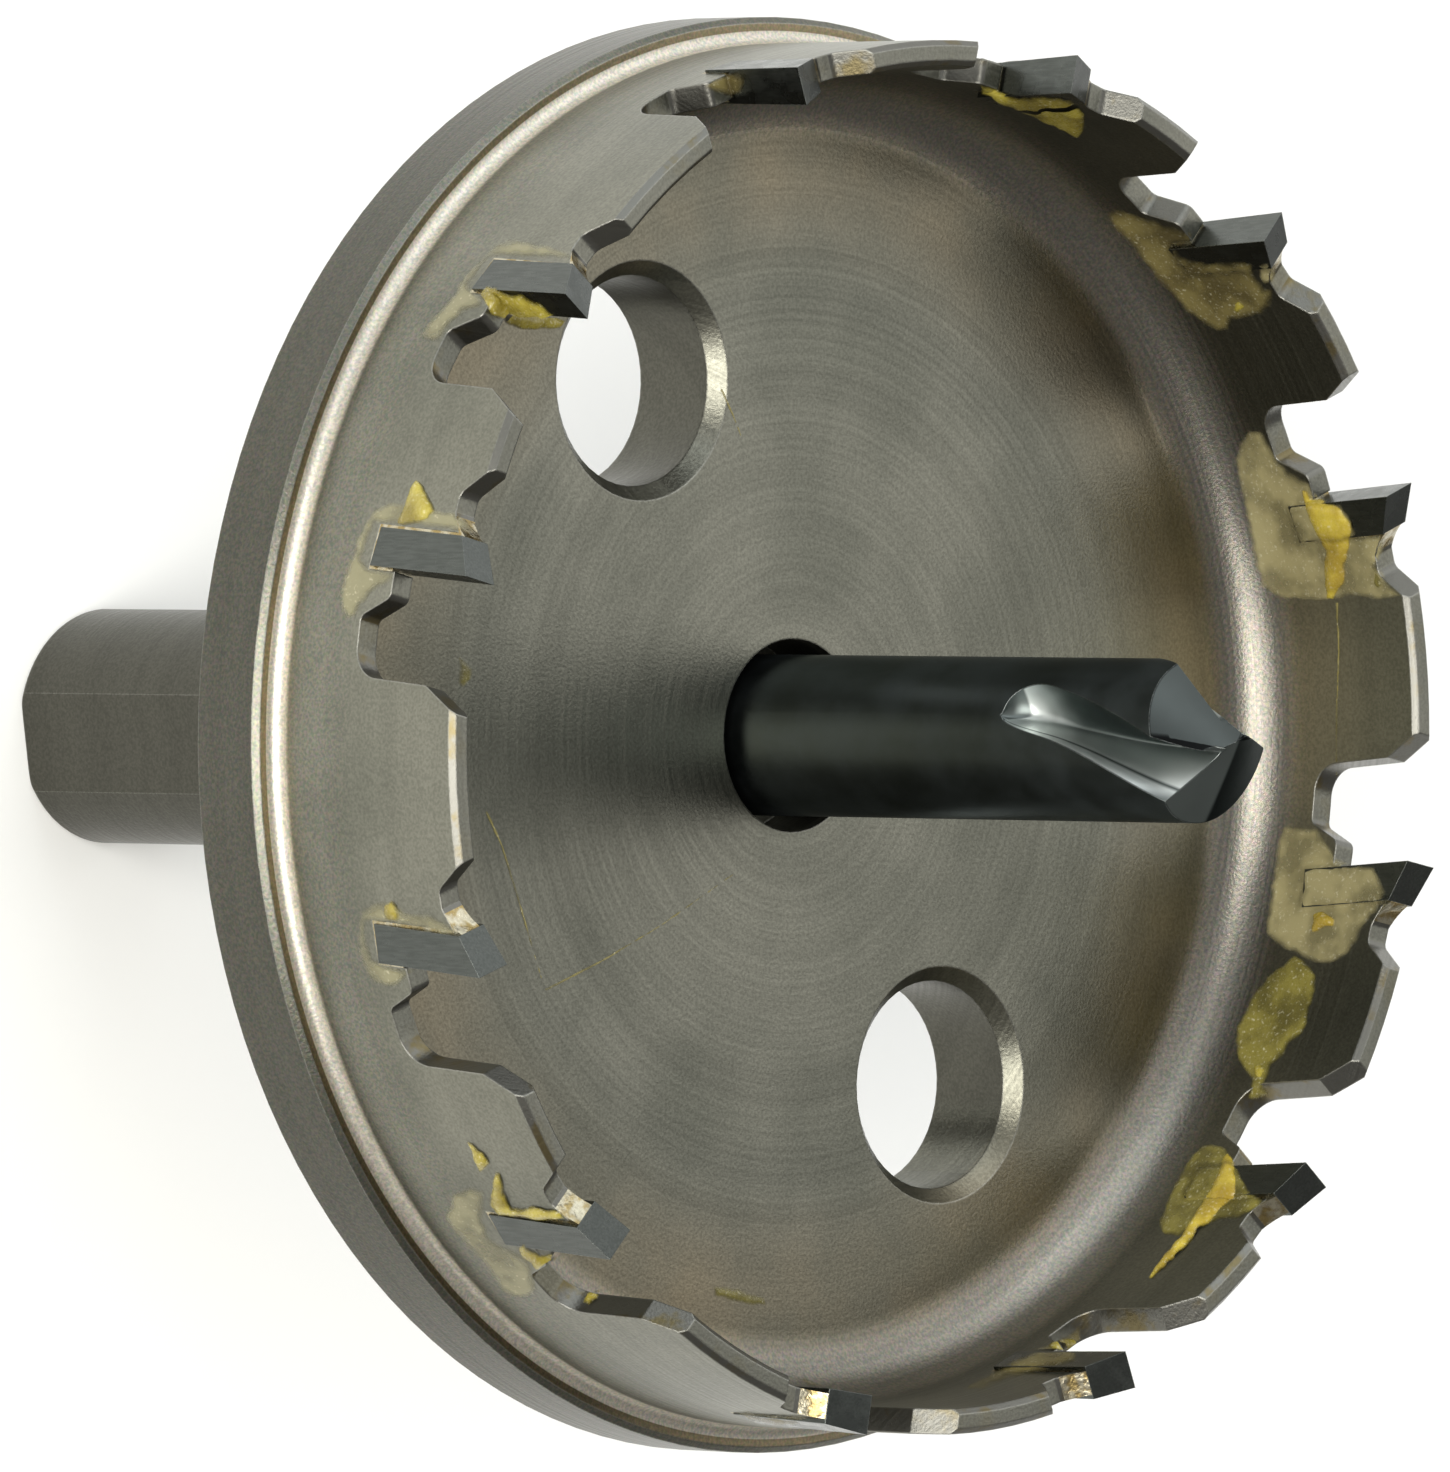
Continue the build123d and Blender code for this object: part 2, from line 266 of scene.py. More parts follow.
steelSet = {
    "light": "#7b7a6f",
    "dark": "#6a6a60",
    "heat": "#85714f",
    "ledge": "#877a5e",
    # painted highlight: the cup's cove at the root of the wall made paler and pinkish
    "cove": "#8b857d",
    # painted highlight: the cove under the flange's step made nearly white
    "ledgeCoveHighlight": "#d3cdc0",
    # painted shade: darker steel on the flange edge, the shank and in the slug holes
    "paintedShade": "#504f48",  # flange edge, shank and slug holes
    "cutSilver": "#6d6c66",
    "cutGold": "#6b6248",
    # edge: painted highlight along the sharp edges, with some wear
    "edge": "#94938c",
    "roughness": 0.34,
    "grainMm": 0.13,  # blasted grain, drawn twice as coarse as it is so that it shows
    "grainDepthMm": 0.017,
    "ringMm": 0.2,  # feed of the turning tool
    "ringDepthMm": 0.006,
    "bandMm": 1.6,
    "cloudMm": 7.0,
    "patchMm": 2.2,
    "edgeMm": 0.11,
    # where each tint lies, in millimetres from the axis and from the shank's end
    "tints": [
        ("heat", ("radius", 17, 23), ("radius", 25.0, 24.0), ("height", 38.9, 39.4),
         ("cloud", 0.25, 0.75, 0.1, 0.45)),
        ("ledge", ("radius", 27.6, 27.72), ("rising", 0.8, 0.9, 0.0, 0.8)),
        # painted highlight in the cup's cove
        ("cove", ("radius", 23.6, 24.4), ("radius", 26.3, 26.2), ("height", 42.6, 41.8, 0.0, 0.5)),
        # painted highlight in the cove under the flange's step
        ("ledgeCoveHighlight", ("radius", 27.1, 27.2), ("radius", 27.72, 27.68), ("height", 39.7, 39.4, 0.0, 0.9)),
        # painted shade on the flange edge, the shank and the walls of the slug holes
        ("paintedShade", ("radius", 27.9, 28.0), ("facing", 0.6, 0.9), ("height", 33, 34, 0.4, 0.9)),
        ("paintedShade", ("height", 30, 28, 0.0, 0.6)),
        ("paintedShade", ("radius", 20, 19), ("height", 39.4, 39.2), ("rising", 0.3, 0.1),
         ("rising", -0.3, -0.1, 0.0, 0.9)),
    ],
    "speckles": [("grain", 0.3, 0.7, 0.86, 1.14), ("bands", 0.3, 0.7, 0.95, 1.04)],
    # where the painted glints lie, in the cup's cove
    "sparkleZone": [("radius", 23.2, 24.4), ("height", 43.4, 41.8, 0.0, 0.3)],
    "cutZone": [("radius", 25.85, 25.95), ("height", 41.2, 41.4), ("facing", 0.9, 0.8),
                ("rising", 0.99, 0.97, 0.25, 1.0)],
    # where the edges are painted paler: painted highlight with some wear
    "edgeWearAndShineZone": [("turn", 0.995, 0.93), ("grain", 0.32, 0.5, 0.4, 0.85)],
    "softZone": [("radius", 27.1, 27.2), ("radius", 27.74, 27.66), ("height", 39.8, 39.4, 0.0, 0.14)],
    # the two coves: radius and height of the arc's centre, and where the arc lies
    "cupCove": [(23.5, 42.5), ("radius", 23.49, 23.51), ("radius", 26.25, 26.21), ("height", 42.51, 42.49),
                ("height", 39.7, 39.79)],
    "stepCove": [(27.7, 39.47), ("radius", 27.18, 27.2), ("radius", 27.71, 27.7), ("height", 39.48, 39.47),
                 ("height", 38.9, 38.96)],
}


def turnedSteel():
    # low-carbon steel, turned and then lightly blasted: satin warm grey with faint rings round the axis,
    # browned by the brazing at the root of the wall, and ground bright wherever the rim was cut
    material, tree, shader = newMaterial("turnedSteel")
    at = whereOn(tree)
    travel = addNode(tree, "Math", {"operation": "ADD"}, {0: at["radius"], 1: at["height"]})
    at["rings"] = addNode(tree, "TexNoise", {"noise_dimensions": "1D", "Scale": 1 / steelSet["ringMm"],
                                             "Detail": 3.0, "Roughness": 0.6}, {"W": travel})
    at["bands"] = addNode(tree, "TexNoise", {"noise_dimensions": "1D", "Scale": 1 / steelSet["bandMm"]},
                          {"W": travel})
    at["grain"] = addNode(tree, "TexNoise", {"Scale": 1 / steelSet["grainMm"], "Roughness": 0.55},
                          {"Vector": at["point"]})
    at["cloud"] = addNode(tree, "TexNoise", {"Scale": 1 / steelSet["cloudMm"], "Detail": 4.0},
                          {"Vector": at["point"]})
    at["patch"] = addNode(tree, "TexNoise", {"Scale": 1 / steelSet["patchMm"], "Detail": 4.0, "Roughness": 0.6},
                          {"Vector": at["point"]})

    base = addNode(tree, "MixRGB", {"Color1": srgb(steelSet["dark"]), "Color2": srgb(steelSet["light"])},
                   {"Fac": zone(tree, at, ("cloud", 0.3, 0.7))})
    for name, *limits in steelSet["tints"]:
        base = addNode(tree, "MixRGB", {"Color2": srgb(steelSet[name])},
                       {"Fac": zone(tree, at, *limits), "Color1": base})
    for limit in steelSet["speckles"]:
        base = addNode(tree, "MixRGB", {"blend_type": "MULTIPLY", "Fac": 1.0},
                       {"Color1": base, "Color2": zone(tree, at, limit)})
    # painted glints: the grain's speckle made stronger in the cup's cove, under its painted highlight
    sparkle = zone(tree, at, *steelSet["sparkleZone"])
    base = addNode(tree, "MixRGB", {"blend_type": "OVERLAY"},
                   {"Fac": sparkle, "Color1": base, "Color2": at["grain"].outputs["Color"]})

    # cut faces of the rim: gullets, land ends, land tops and their chamfers
    cut = zone(tree, at, *steelSet["cutZone"])
    cutTone = addNode(tree, "MixRGB",
                      {"Color1": srgb(steelSet["cutGold"]), "Color2": srgb(steelSet["cutSilver"])},
                      {"Fac": zone(tree, at, ("patch", 0.36, 0.5))})
    base = addNode(tree, "MixRGB", links={"Fac": cut, "Color1": base, "Color2": cutTone})

    rounded = roundedEdgeBand(tree, at, steelSet["edgeMm"])
    edgeWearAndShine = zone(tree, at, *steelSet["edgeWearAndShineZone"])
    # painted highlight along the sharp edges, with some wear
    base = addNode(tree, "MixRGB", {"Color2": srgb(steelSet["edge"])}, {"Fac": edgeWearAndShine, "Color1": base})
    tree.links.new(base.outputs["Color"], shader.inputs["Base Color"])
    shader.inputs["Metallic"].default_value = 1.0

    rough = zone(tree, at, ("rings", 0.3, 0.7, steelSet["roughness"] - 0.03, steelSet["roughness"] + 0.06))
    softer = zone(tree, at, *steelSet["softZone"])
    rough = addNode(tree, "Math", {"operation": "ADD"}, {0: rough, 1: softer})
    tree.links.new(rough.outputs["Value"], shader.inputs["Roughness"])

    normal = coveNormal(tree, at, rounded, *steelSet["cupCove"])
    normal = coveNormal(tree, at, normal, *steelSet["stepCove"])
    ringBump = addNode(tree, "Bump", {"Strength": 0.28, "Distance": steelSet["ringDepthMm"] * mm},
                       {"Height": at["rings"], "Normal": normal})
    grainBump = addNode(tree, "Bump", {"Strength": 0.65, "Distance": steelSet["grainDepthMm"] * mm},
                        {"Height": at["grain"], "Normal": ringBump})
    tree.links.new(grainBump.outputs["Normal"], shader.inputs["Normal"])
    return material


dress(nodes["cutter_body"], turnedSteel())
print("steel body ready")


drillSet = {
    "oxide": "#505657",
    "oxideDark": "#464b4a",
    "fluteDark": "#565e5c",
    # painted highlight on the flutes' heel sides and starts
    "fluteHighlight": "#dfe4e1",
    # painted shade: near black on the point's flanks
    "flankShade": "#161717",
    # painted highlight on the point's heel facet
    "flankHighlight": "#707775",
    # painted highlight along the sharp edges, with some wear
    "edge": "#7f8482",
    "grazing": "#c2c5c4",  # black oxide shines less at a low angle than bare steel
    "roughness": 0.36,
    "grindMm": 0.12,
    "grindDepthMm": 0.003,
    "cloudMm": 2.5,
    "fineMm": 0.15,
    "edgeMm": 0.05,
    "tints": [
        ("fluteDark", ("radius", 3.16, 3.1), ("height", 54.0, 54.4)),
        # painted highlight across each flute, as strong as the painted light kept on each corner
        ("fluteHighlight", ("radius", 3.16, 3.1), ("height", 54.0, 54.4), ("paintedLight", 0.0, 1.0)),
        # painted shade over the whole point, then painted highlight where its painted light is high
        ("flankShade", ("rising", 0.5, 0.6)),
        ("flankHighlight", ("rising", 0.5, 0.6), ("paintedLight", 0.0, 1.0)),
        # painted highlight along the sharp edges, with some wear
        ("edge", ("turn", 0.995, 0.93), ("fine", 0.4, 0.55, 0.2, 0.8)),
    ],
}


def blackOxide():
    # high-speed steel, ground and steam blacked: smooth, dark and a little blue, with paler ground flutes; the
    # flutes also carry painted highlight, and the point painted highlight and shade
    material, tree, shader = newMaterial("blackOxideSteel")
    at = whereOn(tree)
    rings = addNode(tree, "TexNoise", {"noise_dimensions": "1D", "Scale": 1 / drillSet["grindMm"]},
                    {"W": at["height"]})
    at["cloud"] = addNode(tree, "TexNoise", {"Scale": 1 / drillSet["cloudMm"], "Detail": 5.0, "Roughness": 0.6},
                          {"Vector": at["point"]})
    at["fine"] = addNode(tree, "TexNoise", {"Scale": 1 / drillSet["fineMm"]}, {"Vector": at["point"]})
    at["paintedLight"] = addNode(tree, "Attribute", {"attribute_name": "paintedLight"}).outputs["Fac"]
    base = addNode(tree, "MixRGB", {"Color1": srgb(drillSet["oxideDark"]), "Color2": srgb(drillSet["oxide"])},
                   {"Fac": zone(tree, at, ("cloud", 0.3, 0.72))})
    rounded = roundedEdgeBand(tree, at, drillSet["edgeMm"])
    for name, *limits in drillSet["tints"]:
        base = addNode(tree, "MixRGB", {"Color2": srgb(drillSet[name])},
                       {"Fac": zone(tree, at, *limits), "Color1": base})
    tree.links.new(base.outputs["Color"], shader.inputs["Base Color"])
    shader.inputs["Metallic"].default_value = 1.0
    shader.inputs["Specular Tint"].default_value = srgb(drillSet["grazing"])
    rough = zone(tree, at, ("cloud", 0.3, 0.7, drillSet["roughness"] - 0.04, drillSet["roughness"] + 0.06))
    tree.links.new(rough.outputs["Result"], shader.inputs["Roughness"])
    bump = addNode(tree, "Bump", {"Strength": 0.25, "Distance": drillSet["grindDepthMm"] * mm},
                   {"Height": rings, "Normal": rounded})
    tree.links.new(bump.outputs["Normal"], shader.inputs["Normal"])
    return material


# the drill's two flutes and its point as the photograph shows them, in millimetres and degrees round the axis
drillShape = {
    "radius": 3.175,
    "top": 63.99,
    "plainTo": 54.0,  # below this the drill is plain round
    "plainRows": (36.0, 42.0, 48.0),
    "fluteStart": 54.3,
    "edgesFrom": 55,  # height that the next two start from
    "heelEdge": (264.4, 1.79, 0.77),  # place round the drill, and its change with each mm and mm squared
    "lipEdge": (224.6, 3.5, 0.315),
    "heelRun": 9,  # degrees that the heel edge comes back at the very start
    "narrowest": 1.0,
    "openRun": 2.0,  # run-out over which the flute opens
    "deepRun": 3.0,  # and deepens
    "depth": (1.5, 2.55),  # at the start and at the point
    "deepens": (56, 62.4),  # heights between which it goes from one to the other
    "heelPower": 2.4,  # the flute's floor is fuller towards the heel than a circle
    "scoreAt": 0.897,  # fine score beside the heel edge, from the middle of the flute
    "scoreHalf": 0.05,
    "scoreDepth": 0.06,
    "flankAngle": 56.3,
    "flankOffset": 2.2,
    "flankFacing": 200.7,
    "lipAngle": 259.7,
    "lipOffset": 0.37,
    "chiselHalf": 0.59,
    "heelSlope": 33.5,
    "heelFacing": 356.2,
    "heelDrop": 0.06,
    "gashFrom": (-0.28, 0.52),  # the far heel is ground away beyond a line from the chisel edge
    "gashTo": (-3.028, -0.955),
    "gashBow": 0.3,
    "gashSlope": 64,
    "seatFacing": 40,
    "seatDepth": 0.35,
    "seatHalf": 3.5,
    "fluteColumns": 48,
    "landColumns": 40,
    "rows": 90,
    "rings": 60,
    "search": 0.05,  # step of the climb to the point's edge, which is then halved so many times
    "halvings": 12,
    "ledge": 0.001,  # height of the screw seat's end walls
    "sharpAngle": 24,
    # painted light on each part, from 0 for painted shade to 1 for painted highlight
    "shineAcross": (-0.3, 0.7),  # from the lip's side of a flute to the heel's
    "shinePower": 1.5,
    "shineStart": 0.75,
    "shineFades": (54.6, 58.5),
    "shineScore": 0.1,
    "shineScoreHalf": 0.012,
    "shineFlank": 0.38,
    "shineFacet": (-0.03, 0.03),
}


def along(value, low, high):
    return min(1, max(0, (value - low) / (high - low)))


def fluteEdges(height):
    # where the first flute starts and ends round the drill
    run = max(height, drillShape["plainTo"]) - drillShape["edgesFrom"]
    heel, lip = (a + b * run + c * run * run for a, b, c in (drillShape["heelEdge"], drillShape["lipEdge"]))
    start = drillShape["fluteStart"]
    share = along(height, start, start + drillShape["openRun"])
    opened = math.sqrt(1 - (1 - share) ** 2)
    width = max(drillShape["narrowest"], (heel - lip) * opened)
    heel -= drillShape["heelRun"] * (1 - opened)
    return heel - width, heel


def fluteFloor(side, height):
    # distance from the axis inside a flute, side running from -1 at the lip to 1 at the heel
    start = drillShape["fluteStart"]
    shallow, deep = drillShape["depth"]
    share = along(height, start, start + drillShape["deepRun"])
    depth = shallow + (deep - shallow) * along(height, *drillShape["deepens"])
    depth = depth * math.sqrt(1 - (1 - share) ** 2)
    hollow = math.sqrt(1 - side * side) if side < 0 else 1 - side ** drillShape["heelPower"]
    score = drillShape["scoreDepth"] * share
    score *= math.exp(-((side - drillShape["scoreAt"]) / drillShape["scoreHalf"]) ** 2)
    return drillShape["radius"] - depth * hollow - score


def flankTop(x, y):
    # each flank is part of a cone whose own axis stands beside the drill's
    offset = drillShape["flankOffset"]
    slope = math.tan(math.radians(drillShape["flankAngle"]))
    falls = []
    for turn in (0, 180):
        facing = math.radians(drillShape["flankFacing"] + turn)
        away = math.hypot(x - offset * math.cos(facing), y - offset * math.sin(facing))
        falls.append((away - offset) / slope)
    return drillShape["top"] - max(falls)


def drillTop(x, y):
    # the point's height: the flanks, a facet behind one lip and a gash behind the other
    height = flankTop(x, y)
    if lipEdge(x, y) > 0:
        height = min(height, heelTop(x, y))
    else:
        (ax, ay), (bx, by) = drillShape["gashFrom"], drillShape["gashTo"]
        span = math.hypot(bx - ax, by - ay)
        reach = ((x - ax) * (bx - ax) + (y - ay) * (by - ay)) / span
        beyond = ((x - ax) * (by - ay) - (y - ay) * (bx - ax)) / span
        beyond += drillShape["gashBow"] * (1 - (2 * along(reach, 0, span) - 1) ** 2)
        height -= max(0, beyond) * math.tan(math.radians(drillShape["gashSlope"]))
    return height


def drillPoint(column, height, seat):
    # a place on the drill's side: column counts round both flutes and both lands
    half = drillShape["fluteColumns"] + drillShape["landColumns"]
    turn, place = (0, column) if column < half else (180, column - half)
    lip, heel = fluteEdges(height)
    away = drillShape["radius"]
    if place <= drillShape["fluteColumns"]:
        side = -math.cos(math.pi * place / drillShape["fluteColumns"])
        angle = lip + (heel - lip) * (side + 1) / 2
        away = fluteFloor(side, height)
    else:
        angle = heel + (lip + 180 - heel) * (place - drillShape["fluteColumns"]) / drillShape["landColumns"]
    angle = math.radians(angle + turn)
    turned = math.cos(angle - math.radians(drillShape["seatFacing"]))
    if abs(height - seat) < drillShape["seatHalf"] and turned > 0:
        away = min(away, (drillShape["radius"] - drillShape["seatDepth"]) / turned)
    return Vector((away * math.cos(angle), away * math.sin(angle), height))


def fluteShine(column, height):
    # painted highlight: brightest on the flute's heel side and at its start, with painted shade along the dark
    # score between
    place = column % (drillShape["fluteColumns"] + drillShape["landColumns"])
    if place > drillShape["fluteColumns"]:
        return 0.0
    side = -math.cos(math.pi * place / drillShape["fluteColumns"])
    if abs(side - drillShape["scoreAt"]) < drillShape["shineScoreHalf"]:
        return drillShape["shineScore"]
    across = along(side, *drillShape["shineAcross"]) ** drillShape["shinePower"]
    return max(across, drillShape["shineStart"] - along(height, *drillShape["shineFades"]))


def lipEdge(x, y):
    # how far a place lies ahead of the lips and the chisel edge, which part the two flanks
    lip = math.radians(drillShape["lipAngle"])
    out = x * math.cos(lip) + y * math.sin(lip)
    start = math.sqrt(drillShape["chiselHalf"] ** 2 - drillShape["lipOffset"] ** 2)
    return y * math.cos(lip) - x * math.sin(lip) - drillShape["lipOffset"] * max(-1, min(1, out / start))


def heelTop(x, y):
    heel = math.radians(drillShape["heelFacing"])
    drop = (x * math.cos(heel) + y * math.sin(heel)) * math.tan(math.radians(drillShape["heelSlope"]))
    return drillShape["top"] - drillShape["heelDrop"] - drop


def pointShine(x, y):
    # painted light on the point: painted highlight makes the heel facet its brightest part, and painted shade
    # makes the flank beside it the darkest
    if lipEdge(x, y) <= 0:
        return drillShape["shineFlank"]
    return along(flankTop(x, y) - heelTop(x, y), *drillShape["shineFacet"])


def grindDrill():
    # rows up the side to where each column meets the point, then rings in to the axis
    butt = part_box("pilot_drill")[0][2] / mm
    screwLow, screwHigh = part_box("set_screw")
    seat = (screwLow[2] + screwHigh[2]) / 2 / mm
    columns = 2 * (drillShape["fluteColumns"] + drillShape["landColumns"])
    search = drillShape["search"]
    ends = []
    for column in range(columns):
        low = drillShape["plainTo"]
        while drillTop(*drillPoint(column, low + search, seat)[:2]) > low + search:
            low += search
        high = low + search
        for halving in range(drillShape["halvings"]):
            middle = (low + high) / 2
            if drillTop(*drillPoint(column, middle, seat)[:2]) > middle:
                low = middle
            else:
                high = middle
        ends.append(low)
    build = bmesh.new()
    paintedLight = build.verts.layers.float.new("paintedLight")
    levels = [butt]
    for edge in (seat - drillShape["seatHalf"], seat + drillShape["seatHalf"]):
        levels += [edge - drillShape["ledge"], edge + drillShape["ledge"]]
    levels += drillShape["plainRows"]
    rows = [[build.verts.new(drillPoint(column, level, seat) * mm) for column in range(columns)]
            for level in levels]
    for step in range(drillShape["rows"] + 1):
        share = step / drillShape["rows"]
        heights = [drillShape["plainTo"] + share * (end - drillShape["plainTo"]) for end in ends]
        rows.append([build.verts.new(drillPoint(column, height, seat) * mm)
                     for column, height in enumerate(heights)])
        for column, corner in enumerate(rows[-1]):
            corner[paintedLight] = fluteShine(column, heights[column])
    rim = [drillPoint(column, end, seat) for column, end in enumerate(ends)]
    for ring in range(1, drillShape["rings"]):
        share = 1 - ring / drillShape["rings"]
        spots = [(p.x * share, p.y * share) for p in rim]
        rows.append([build.verts.new(Vector((x, y, drillTop(x, y))) * mm) for x, y in spots])
        for (x, y), corner in zip(spots, rows[-1]):
            corner[paintedLight] = pointShine(x, y)
    for lower, upper in zip(rows, rows[1:]):
        for column in range(columns):
            following = (column + 1) % columns
            build.faces.new((lower[column], lower[following], upper[following], upper[column]))
    peak = build.verts.new(Vector((0, 0, drillTop(0, 0))) * mm)
    for column in range(columns):
        build.faces.new((rows[-1][column], rows[-1][(column + 1) % columns], peak))
    build.faces.new(rows[0][::-1])
    for face in build.faces:
        face.smooth = True
    mesh = bpy.data.meshes.new("pilot_drill_ground")
    build.to_mesh(mesh)
    build.free()
    mesh.set_sharp_from_angle(angle=math.radians(drillShape["sharpAngle"]))
    drill = bpy.data.objects.new("pilot_drill_ground", mesh)
    bpy.context.scene.collection.objects.link(drill)
    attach(drill, "root")
    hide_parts("pilot_drill")
    return drill


oxide = blackOxide()
dress(grindDrill(), oxide)
dress(nodes["pilot_drill"], oxide)
dress(nodes["set_screw"], oxide)
print("drill ready")


tipSet = {
    "ground": "#585b58",
    "groundDark": "#4e514e",
    # painted highlight along the sharp edges, with some wear
    "edge": "#787b77",
    "roughness": 0.27,
    "wheelMm": 0.09,
    "wheelDepthMm": 0.003,
    "smearMm": 0.8,
    "edgeMm": 0.035,
}


def groundCarbide():
    # tungsten carbide, diamond ground: dark grey and hard-edged, with fine straight wheel marks
    material, tree, shader = newMaterial("groundCarbide")
    at = whereOn(tree)
    stretch = addNode(tree, "Mapping", {"Scale": (1.0, 1.0, 0.1)}, {"Vector": at["point"]})
    at["marks"] = addNode(tree, "TexNoise", {"Scale": 1 / tipSet["wheelMm"]}, {"Vector": stretch})
    at["smear"] = addNode(tree, "TexNoise", {"Scale": 1 / tipSet["smearMm"], "Detail": 3.0},
                          {"Vector": at["point"]})
    base = addNode(tree, "MixRGB", {"Color1": srgb(tipSet["groundDark"]), "Color2": srgb(tipSet["ground"])},
                   {"Fac": zone(tree, at, ("marks", 0.3, 0.7))})
    rounded = roundedEdgeBand(tree, at, tipSet["edgeMm"])
    # painted highlight along the sharp edges, with some wear
    base = addNode(tree, "MixRGB", {"Color2": srgb(tipSet["edge"])},
                   {"Fac": zone(tree, at, ("turn", 0.995, 0.93, 0.0, 0.6)), "Color1": base})
    tree.links.new(base.outputs["Color"], shader.inputs["Base Color"])
    shader.inputs["Metallic"].default_value = 1.0
    rough = zone(tree, at, ("smear", 0.3, 0.7, tipSet["roughness"] - 0.04, tipSet["roughness"] + 0.07))
    tree.links.new(rough.outputs["Result"], shader.inputs["Roughness"])
    bump = addNode(tree, "Bump", {"Strength": 0.1, "Distance": tipSet["wheelDepthMm"] * mm},
                   {"Height": at["marks"], "Normal": rounded})
    tree.links.new(bump.outputs["Normal"], shader.inputs["Normal"])
    return material


brazeSet = {
    "silver": "#b7b09a",
    "gold": "#97855a",
    "roughness": 0.27,
    "lumpMm": 0.45,
    "lumpDepthMm": 0.1,
    "frostMm": 0.2,
}


def cooledBraze():
    # silver brazing filler as it cooled: bright, pale gold and softly lumpy
    material, tree, shader = newMaterial("cooledBraze")
    at = whereOn(tree)
    at["lumps"] = addNode(tree, "TexNoise", {"Scale": 1 / brazeSet["lumpMm"], "Detail": 3.0},
                          {"Vector": at["point"]})
    at["frost"] = addNode(tree, "TexNoise", {"Scale": 1 / brazeSet["frostMm"]}, {"Vector": at["point"]})
    base = addNode(tree, "MixRGB", {"Color1": srgb(brazeSet["gold"]), "Color2": srgb(brazeSet["silver"])},
                   {"Fac": zone(tree, at, ("lumps", 0.38, 0.6))})
    tree.links.new(base.outputs["Color"], shader.inputs["Base Color"])
    shader.inputs["Metallic"].default_value = 1.0
    rough = zone(tree, at, ("frost", 0.3, 0.7, brazeSet["roughness"] - 0.05, brazeSet["roughness"] + 0.1))
    tree.links.new(rough.outputs["Result"], shader.inputs["Roughness"])
    bump = addNode(tree, "Bump", {"Strength": 0.7, "Distance": brazeSet["lumpDepthMm"] * mm},
                   {"Height": at["lumps"]})
    tree.links.new(bump.outputs["Normal"], shader.inputs["Normal"])
    return material


carbide = groundCarbide()
braze = cooledBraze()
for name, obj in nodes.items():
    if name.startswith("carbide_tip"):
        dress(obj, carbide)
    if name.startswith("braze_seam"):
        dress(obj, braze)
print("tips ready")


fluxSet = {
    "pale": {
        "light": "#a89e72", "dark": "#928961", "cover": (0.5, 0.75), "roughness": 0.4,
        "thick": 0.05, "rim": 6, "soft": 8, "coat": 0.1,
    },
    # painted shade: a darker copy of the pale film, for films where the front light falls strongest
    "dull": {
        "light": "#8f8a6a", "dark": "#7e795b", "cover": (0.5, 0.72), "roughness": 0.42,
        "thick": 0.05, "rim": 6, "soft": 9, "coat": 0.05,
    },
    "brown": {
        "light": "#7c7144", "dark": "#665b35", "cover": (0.5, 0.75), "roughness": 0.38,
        "thick": 0.06, "rim": 6, "soft": 9, "coat": 0.1,
    },
    "olive": {
        "light": "#857c3a", "dark": "#6a622e", "cover": (0.55, 0.8), "roughness": 0.33,
        "thick": 0.08, "rim": 7, "soft": 6, "coat": 0.2,
    },
    "yellow": {
        "light": "#c2ae42", "dark": "#a58d34", "cover": (0.8, 1.0), "roughness": 0.27,
        "thick": 0.26, "rim": 9, "soft": 3, "coat": 0.3,
    },
    # painted shade: a darker copy of the yellow flux, for drops where the front light falls strongest
    "amber": {
        "light": "#a1943c", "dark": "#84762b", "cover": (0.75, 1.0), "roughness": 0.3,
        "thick": 0.24, "rim": 9, "soft": 4, "coat": 0.25,
    },
    "hair": {
        "light": "#8f8550", "dark": "#787044", "cover": (0.5, 0.8), "roughness": 0.4,
        "thick": 0.04, "rim": 2, "soft": 1, "coat": 0.0,
    },
}


# what every kind of flux shares
fluxRules = {
    "fleck": "#e9e4c8",
    "fleckMm": 0.14,
    "fleckDepthMm": 0.022,
    "swirlMm": 1.6,
    "coatRoughness": 0.15,
    "wave": 9,  # length of the wandering at a skin's edge and of its lumps, in the photograph's pixels
    "lumps": 0.3,
    "sinkMm": 0.02,  # how far its rim goes under the surface
    "thinAtEdge": 0.1,
    "longestMm": 1.0,  # a face longer than this would bridge a gap, so it is left out
    "smoothings": 3,
}


